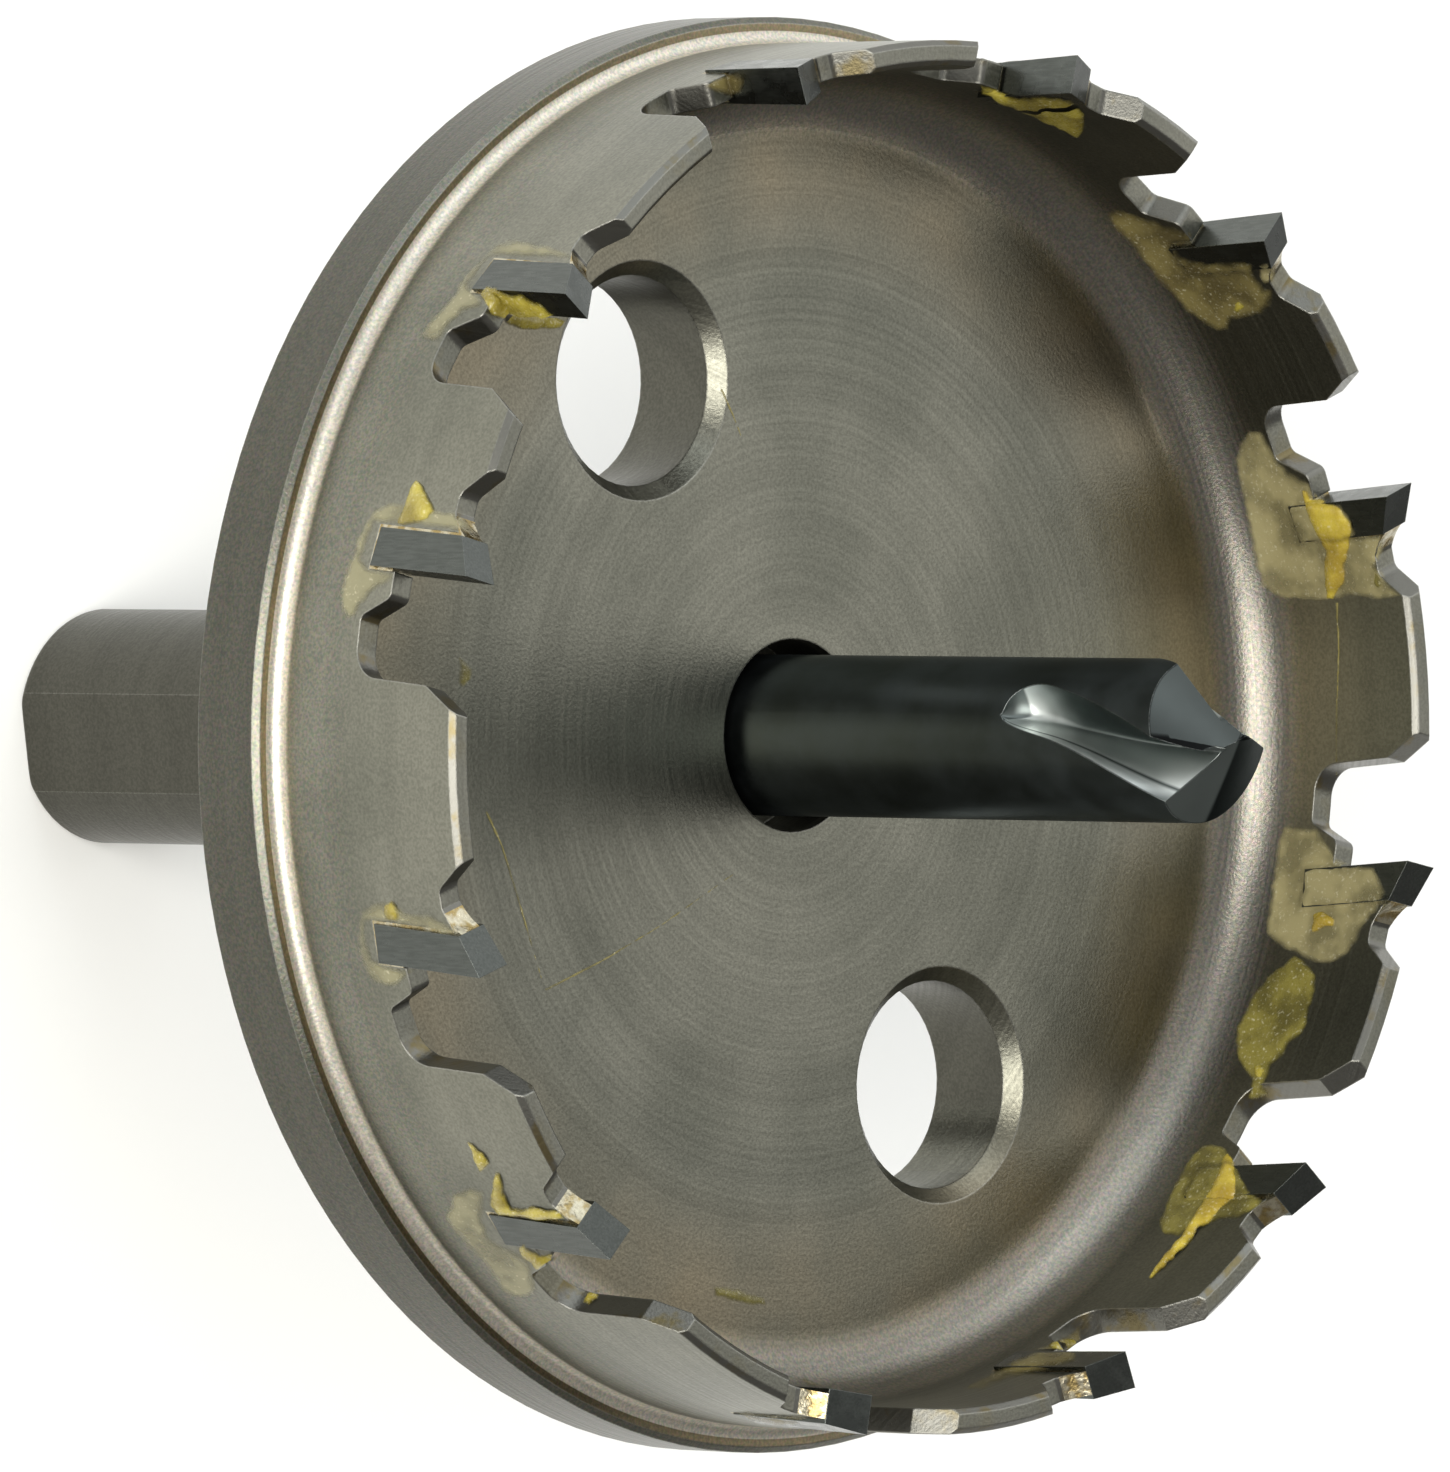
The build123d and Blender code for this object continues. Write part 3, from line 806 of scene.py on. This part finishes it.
def glassyFlux(kind):
    # brazing flux that ran and set: a glassy skin, pale where thin and amber yellow where it pooled
    settings = fluxSet[kind]
    material, tree, shader = newMaterial(kind + "Flux")
    at = whereOn(tree)
    at["swirl"] = addNode(tree, "TexNoise", {"Scale": 1 / fluxRules["swirlMm"], "Detail": 3.0},
                          {"Vector": at["point"]})
    at["fleck"] = addNode(tree, "TexNoise", {"Scale": 1 / fluxRules["fleckMm"], "Roughness": 0.55},
                          {"Vector": at["point"]})
    base = addNode(tree, "MixRGB", {"Color1": srgb(settings["dark"]), "Color2": srgb(settings["light"])},
                   {"Fac": zone(tree, at, ("swirl", 0.32, 0.66))})
    base = addNode(tree, "MixRGB", {"Color2": srgb(fluxRules["fleck"])},
                   {"Fac": zone(tree, at, ("fleck", 0.58, 0.74, 0.0, 0.4)), "Color1": base})
    tree.links.new(base.outputs["Color"], shader.inputs["Base Color"])
    at["thinning"] = addNode(tree, "Attribute", {"attribute_name": "thinning"}).outputs["Fac"]
    cover = zone(tree, at, ("swirl", 0.3, 0.6, *settings["cover"]), ("thinning", 0.0, 1.0))
    tree.links.new(cover.outputs["Value"], shader.inputs["Alpha"])
    rough = zone(tree, at, ("fleck", 0.3, 0.7, settings["roughness"] - 0.08, settings["roughness"] + 0.1))
    tree.links.new(rough.outputs["Result"], shader.inputs["Roughness"])
    shader.inputs["Coat Weight"].default_value = settings["coat"]
    shader.inputs["Coat Roughness"].default_value = fluxRules["coatRoughness"]
    bump = addNode(tree, "Bump", {"Strength": 0.55, "Distance": fluxRules["fleckDepthMm"] * mm},
                   {"Height": at["fleck"]})
    tree.links.new(bump.outputs["Normal"], shader.inputs["Normal"])
    return material


fluxMaterials = {kind: glassyFlux(kind) for kind in fluxSet}


def solidTree():
    # every CAD piece in one tree, so that a ray stops at whichever lies in front
    verts, faces = [], []
    for obj in nodes.values():
        start = len(verts)
        verts += [v.co.copy() for v in obj.data.vertices]
        faces += [[start + i for i in f.vertices] for f in obj.data.polygons]
    return BVHTree.FromPolygons(verts, faces)


solids = solidTree()
turnOut = cameraTurn().transposed()
eye = cameraPlace(cameraTurn())
focal = cameraSet["lens"] / cameraSet["sensor"] * cameraSet["frameSize"][1]


def photoHit(x, y):
    # what the photograph's pixel lies on
    middle = (cameraSet["frameSize"][0] / 2, cameraSet["frameSize"][1] / 2)
    ray = turnOut @ Vector(((x - middle[0]) / focal, (middle[1] - y) / focal, -1))
    point, normal, face, distance = solids.ray_cast(eye, ray.normalized())
    if point is None:
        return None
    return point, (normal if normal.dot(ray) < 0 else -normal)


def wallHit(arc, height, outside):
    # the same for a place on the wall, given in degrees round the rim and in millimetres up
    angle = math.radians(arc)
    away = Vector((math.cos(angle), math.sin(angle), 0))
    begin = hiddenSet["fromOutside"] if outside else hiddenSet["fromInside"]
    start = away * begin + Vector((0, 0, height * mm))
    ray = -away if outside else away
    point, normal, face, distance = solids.ray_cast(start, ray)
    if point is None or distance > hiddenSet["within"]:
        return None
    return point, (normal if normal.dot(ray) < 0 else -normal)


def insideBy(x, y, outline):
    # how far a point lies inside an outline, negative outside
    inside, nearest = False, 1e9
    for (ax, ay), (bx, by) in zip(outline, outline[1:] + outline[:1]):
        if (ay > y) != (by > y) and x < (bx - ax) * (y - ay) / (by - ay) + ax:
            inside = not inside
        span = (bx - ax) ** 2 + (by - ay) ** 2
        share = min(1, max(0, ((x - ax) * (bx - ax) + (y - ay) * (by - ay)) / span))
        nearest = min(nearest, math.hypot(x - ax - share * (bx - ax), y - ay - share * (by - ay)))
    return nearest if inside else -nearest


def layFlux(name, kind, outline, step=2.0, scale=1.0, wander=2.2, hit=photoHit):
    # a skin laid over whatever lies under the outline, domed from its rim and wandering a little at the edge
    settings = fluxSet[kind]
    depth = settings["thick"] * mm
    wave = fluxRules["wave"] * scale
    seed = sum(ord(c) for c in name) * 0.37
    low = [min(p[i] for p in outline) - 2 * step for i in (0, 1)]
    high = [max(p[i] for p in outline) + 2 * step for i in (0, 1)]
    columns, rows = (int((high[i] - low[i]) / step) + 1 for i in (0, 1))
    build = bmesh.new()
    thinning = build.verts.layers.float.new("thinning")
    made = {}
    for i in range(columns):
        for j in range(rows):
            x, y = low[0] + i * step, low[1] + j * step
            inner = insideBy(x, y, outline) + noise.noise(Vector((x / wave, y / wave, seed))) * wander * scale
            if inner < -step:
                continue
            found = hit(x, y)
            if not found:
                continue
            point, normal = found
            rise = min(1, max(0, inner / (settings["rim"] * scale)))
            lump = 1 + fluxRules["lumps"] * noise.noise(Vector((x / wave, y / wave, seed + 7)))
            lift = depth * rise * (2 - rise) * lump if inner > 0 else -fluxRules["sinkMm"] * mm
            made[i, j] = build.verts.new(point + normal * lift)
            made[i, j][thinning] = along(inner / (settings["soft"] * scale), -fluxRules["thinAtEdge"],
                                         1 - fluxRules["thinAtEdge"])
    for (i, j), corner in made.items():
        around = [corner, made.get((i + 1, j)), made.get((i + 1, j + 1)), made.get((i, j + 1))]
        if not all(around):
            continue
        longest = max((a.co - b.co).length for a, b in zip(around, around[1:] + around[:1]))
        if longest < fluxRules["longestMm"] * mm:
            build.faces.new(around)
    bmesh.ops.delete(build, geom=[v for v in build.verts if not v.link_faces], context="VERTS")
    for turn in range(fluxRules["smoothings"]):
        bmesh.ops.smooth_vert(build, verts=build.verts, factor=0.5, use_axis_x=True, use_axis_y=True,
                              use_axis_z=True)
    bmesh.ops.recalc_face_normals(build, faces=build.faces)
    for face in build.faces:
        face.smooth = True
    mesh = bpy.data.meshes.new(name)
    build.to_mesh(mesh)
    build.free()
    piece = bpy.data.objects.new(name, mesh)
    bpy.context.scene.collection.objects.link(piece)
    dress(piece, fluxMaterials[kind])
    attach(piece, "root")


# outlines of the set flux as the photograph shows it, in the photograph's own pixels
fluxOutlines = {
    "flux_01_film": ("pale", [
        (1234, 460), (1240, 440), (1250, 430), (1262, 430), (1272, 446), (1281, 462), (1294, 474), (1310, 483),
        (1322, 498), (1342, 505), (1352, 520), (1356, 535), (1384, 534), (1384, 552), (1378, 566), (1390, 582),
        (1402, 596), (1380, 600), (1350, 597), (1330, 601), (1280, 600), (1262, 588), (1255, 565), (1250, 540),
        (1245, 510), (1238, 480),
    ]),
    "flux_01_run": ("yellow", [
        (1301, 488), (1308, 489), (1314, 498), (1330, 502), (1343, 508), (1350, 520), (1354, 531), (1351, 546),
        (1347, 565), (1346, 584), (1338, 594), (1334, 600), (1326, 600), (1325, 575), (1325, 550), (1318, 538),
        (1311, 522), (1304, 505),
    ]),
    "flux_01_spot": ("olive", [
        (1370, 566), (1377, 567), (1384, 580), (1386, 590), (1378, 592), (1371, 584),
    ]),
    "flux_02_film": ("brown", [
        (1104, 212), (1118, 208), (1135, 213), (1152, 219), (1172, 226), (1190, 232), (1196, 242), (1174, 246),
        (1182, 256), (1205, 262), (1230, 261), (1252, 262), (1257, 276), (1264, 286), (1272, 289), (1272, 305),
        (1262, 315), (1245, 318), (1232, 320), (1230, 330), (1220, 332), (1205, 325), (1190, 315), (1175, 300),
        (1160, 285), (1145, 265), (1130, 245), (1112, 228),
    ]),
    "flux_02_lump": ("pale", [
        (1258, 266), (1265, 262), (1274, 265), (1277, 274), (1275, 283), (1265, 285), (1258, 278),
    ]),
    "flux_02_spot": ("amber", [
        (1233, 302), (1240, 298), (1246, 306), (1241, 314), (1234, 311),
    ]),
    "flux_03_run": ("amber", [
        (978, 82), (990, 85), (1000, 92), (1020, 97), (1050, 96), (1070, 99), (1085, 112), (1084, 131),
        (1078, 138), (1062, 130), (1040, 120), (1015, 110), (995, 101), (982, 94),
    ]),
    "flux_04_film": ("brown", [
        (700, 84), (718, 74), (738, 70), (746, 80), (742, 94), (728, 97), (712, 93),
    ]),
    "flux_05_film": ("dull", [
        (575, 262), (570, 252), (550, 246), (530, 241), (510, 239), (497, 243), (485, 254), (472, 267),
        (460, 280), (452, 295), (440, 308), (427, 322), (420, 333), (422, 341), (432, 343), (442, 338),
        (452, 324), (465, 314), (480, 309), (485, 302), (480, 295), (471, 288), (471, 285), (480, 271),
        (491, 257), (520, 258), (560, 259),
    ]),
    "flux_05_run": ("amber", [
        (487, 285), (497, 287), (505, 293), (520, 293), (540, 302), (558, 318), (568, 320), (560, 329),
        (535, 331), (515, 329), (505, 322), (492, 316), (484, 305), (480, 296),
    ]),
    "flux_06_film": ("dull", [
        (474, 532), (472, 522), (455, 512), (430, 508), (405, 503), (388, 501), (375, 508), (365, 520),
        (356, 540), (350, 560), (343, 575), (339, 595), (340, 610), (347, 620), (357, 617), (362, 606),
        (370, 596), (382, 587), (394, 580), (400, 575), (388, 569), (370, 567), (363, 561), (369, 540),
        (376, 523), (400, 525), (430, 528), (455, 532),
    ]),
    "flux_06_peak": ("amber", [
        (410, 487), (417, 479), (424, 486), (431, 501), (436, 512), (430, 520), (418, 523), (405, 526),
        (397, 524), (400, 515), (406, 504), (409, 495),
    ]),
    "flux_06_spot": ("olive", [
        (458, 655), (464, 660), (473, 668), (472, 680), (464, 689), (457, 684), (458, 672),
    ]),
    "flux_07_film": ("dull", [
        (458, 928), (430, 914), (405, 912), (391, 900), (373, 902), (361, 911), (357, 930), (358, 950),
        (364, 970), (372, 982), (386, 989), (400, 984), (410, 974), (418, 969), (405, 968), (386, 963),
        (373, 958), (369, 941), (366, 923), (385, 923), (410, 928), (440, 935), (455, 936),
    ]),
    "flux_07_bead": ("amber", [
        (385, 904), (392, 901), (398, 906), (402, 914), (399, 922), (388, 922), (384, 913),
    ]),
    "flux_08_film": ("dull", [
        (452, 1192), (470, 1187), (484, 1190), (486, 1205), (484, 1220), (490, 1238), (505, 1246), (518, 1250),
        (530, 1259), (534, 1275), (537, 1290), (530, 1299), (515, 1299), (500, 1290), (490, 1272), (475, 1255),
        (460, 1240), (448, 1225), (442, 1218), (450, 1205),
    ]),
    "flux_08_chip": ("amber", [
        (468, 1142), (476, 1144), (486, 1155), (493, 1163), (486, 1168), (480, 1172), (474, 1162),
    ]),
    "flux_08_run": ("amber", [
        (494, 1170), (502, 1173), (506, 1192), (513, 1207), (540, 1206), (562, 1211), (566, 1219), (540, 1220),
        (515, 1217), (498, 1214), (490, 1205), (492, 1190),
    ]),
    "flux_08_drip": ("amber", [
        (517, 1247), (524, 1244), (533, 1251), (545, 1254), (557, 1252), (556, 1261), (546, 1265), (540, 1272),
        (530, 1262), (520, 1256),
    ]),
    "flux_08_bit": ("amber", [
        (581, 1301), (588, 1292), (601, 1289), (598, 1299), (589, 1306),
    ]),
    "flux_09_film": ("brown", [
        (738, 1415), (745, 1409), (765, 1414), (790, 1413), (805, 1410), (811, 1415), (806, 1423), (790, 1426),
        (784, 1431), (771, 1430), (762, 1424), (745, 1424),
    ]),
    "flux_09_bit": ("brown", [
        (793, 1377), (805, 1377), (824, 1385), (824, 1391), (812, 1390), (799, 1384),
    ]),
    "flux_10_film": ("brown", [
        (962, 1391), (968, 1385), (985, 1375), (1005, 1364), (1030, 1352), (1050, 1343), (1066, 1334),
        (1080, 1325), (1083, 1336), (1085, 1347), (1077, 1353), (1074, 1362), (1058, 1368), (1038, 1373),
        (1014, 1379), (1000, 1385), (984, 1390),
    ]),
    "flux_10_bead": ("amber", [
        (1048, 1346), (1058, 1338), (1074, 1337), (1080, 1345), (1070, 1352), (1053, 1354),
    ]),
    "flux_11_film": ("olive", [
        (1212, 1143), (1228, 1148), (1236, 1160), (1239, 1172), (1250, 1190), (1264, 1200), (1260, 1210),
        (1240, 1218), (1218, 1222), (1200, 1228), (1180, 1237), (1162, 1235), (1158, 1222), (1165, 1205),
        (1172, 1190), (1180, 1172), (1190, 1158), (1200, 1147),
    ]),
    "flux_11_run": ("yellow", [
        (1228, 1152), (1235, 1160), (1238, 1180), (1236, 1199), (1223, 1211), (1213, 1222), (1200, 1230),
        (1192, 1240), (1180, 1254), (1165, 1268), (1150, 1281), (1148, 1277), (1159, 1262), (1173, 1245),
        (1184, 1231), (1196, 1212), (1203, 1199), (1214, 1184), (1220, 1169), (1223, 1158),
    ]),
    "flux_12_film": ("pale", [
        (1283, 825), (1318, 829), (1328, 842), (1337, 856), (1350, 864), (1375, 867), (1382, 881), (1386, 893),
        (1383, 905), (1373, 916), (1362, 930), (1358, 941), (1349, 955), (1335, 963), (1318, 965), (1300, 956),
        (1283, 948), (1265, 935), (1267, 910), (1272, 880), (1275, 850),
    ]),
    "flux_12_bead": ("yellow", [
        (1313, 914), (1324, 910), (1336, 919), (1335, 927), (1322, 930), (1311, 933),
    ]),
    "flux_12_run": ("olive", [
        (1282, 965), (1295, 953), (1305, 960), (1316, 975), (1314, 1000), (1308, 1020), (1303, 1035),
        (1292, 1042), (1285, 1055), (1272, 1066), (1269, 1076), (1263, 1086), (1270, 1094), (1258, 1101),
        (1247, 1098), (1250, 1080), (1236, 1060), (1235, 1030), (1245, 1010), (1255, 990), (1268, 975),
    ]),
    "flux_12_bit": ("amber", [
        (1253, 1066), (1262, 1063), (1267, 1072), (1262, 1080), (1254, 1078),
    ]),
    "flux_web_chip": ("olive", [
        (712, 1285), (738, 1288), (765, 1297), (767, 1307), (740, 1304), (714, 1297),
    ]),
}
for name, (kind, outline) in fluxOutlines.items():
    layFlux(name, kind, outline)


hairSet = {"width": 3.0, "taper": 0.6, "step": 1.0, "scale": 0.6, "wander": 1.2}

# single hairs and runs, each from its thick end to its thin one
fluxHairs = {
    "flux_hair_hole": [(721, 389), (728, 404), (735, 420), (743, 441)],
    "flux_hair_web": [(486, 811), (502, 846), (520, 905), (533, 950), (545, 990)],
    "flux_hair_low": [(545, 990), (600, 962), (660, 926), (735, 873)],
    "flux_hair_wall": [(1337, 602), (1339, 650), (1337, 700), (1336, 745), (1337, 790)],
}


def hairOutline(line):
    # a line given a width that tapers to its far end
    left, right = [], []
    for k, (x, y) in enumerate(line):
        before, after = line[max(0, k - 1)], line[min(len(line) - 1, k + 1)]
        run = math.hypot(after[0] - before[0], after[1] - before[1])
        nx, ny = -(after[1] - before[1]) / run, (after[0] - before[0]) / run
        half = hairSet["width"] * (1 - hairSet["taper"] * k / (len(line) - 1)) / 2
        left.append((x + nx * half, y + ny * half))
        right.append((x - nx * half, y - ny * half))
    return left + right[::-1]


for name, line in fluxHairs.items():
    layFlux(name, "hair", hairOutline(line), step=hairSet["step"], scale=hairSet["scale"],
            wander=hairSet["wander"])


# the sides of the tips that the photograph hides carry the same film
hiddenSet = {
    "firstTip": 112.83,
    "pitches": [27.5, 27.5, 32.75, 32.4, 25.2, 32.4, 27.25, 33.15, 31.7, 27.95, 29.6],
    "outside": (1, 2, 3, 10, 11, 12),
    "inside": (4, 5, 6, 7, 8, 9),
    "fromOutside": 40 * mm,  # the rays that find the wall start here
    "fromInside": 20 * mm,
    "within": 15 * mm,
    "step": 0.16,
    "scale": 0.09,
    "wander": 3.5,
    # degrees round the rim from the tip, and height
    "shape": [(-5.2, 43.4), (-3.4, 42.3), (1.5, 42.1), (4.6, 42.9), (6.0, 44.6), (4.9, 46.4), (2.6, 46.9),
              (0.4, 46.2), (-2.2, 45.8), (-4.4, 45.0)],
}


def hideFlux():
    angles = [hiddenSet["firstTip"]]
    for pitch in hiddenSet["pitches"]:
        angles.append(angles[-1] + pitch)
    for side in ("outside", "inside"):
        for number in hiddenSet[side]:
            outline = [(angles[number - 1] + arc, height) for arc, height in hiddenSet["shape"]]
            # the hidden films take the darker copy of the pale film, whose darkness is painted shade
            layFlux("flux_%02d_%s" % (number, side), "dull", outline, step=hiddenSet["step"],
                    scale=hiddenSet["scale"], wander=hiddenSet["wander"],
                    hit=lambda x, y, out=(side == "outside"): wallHit(x, y, out))


hideFlux()
print("flux ready")


print("pieces ready")
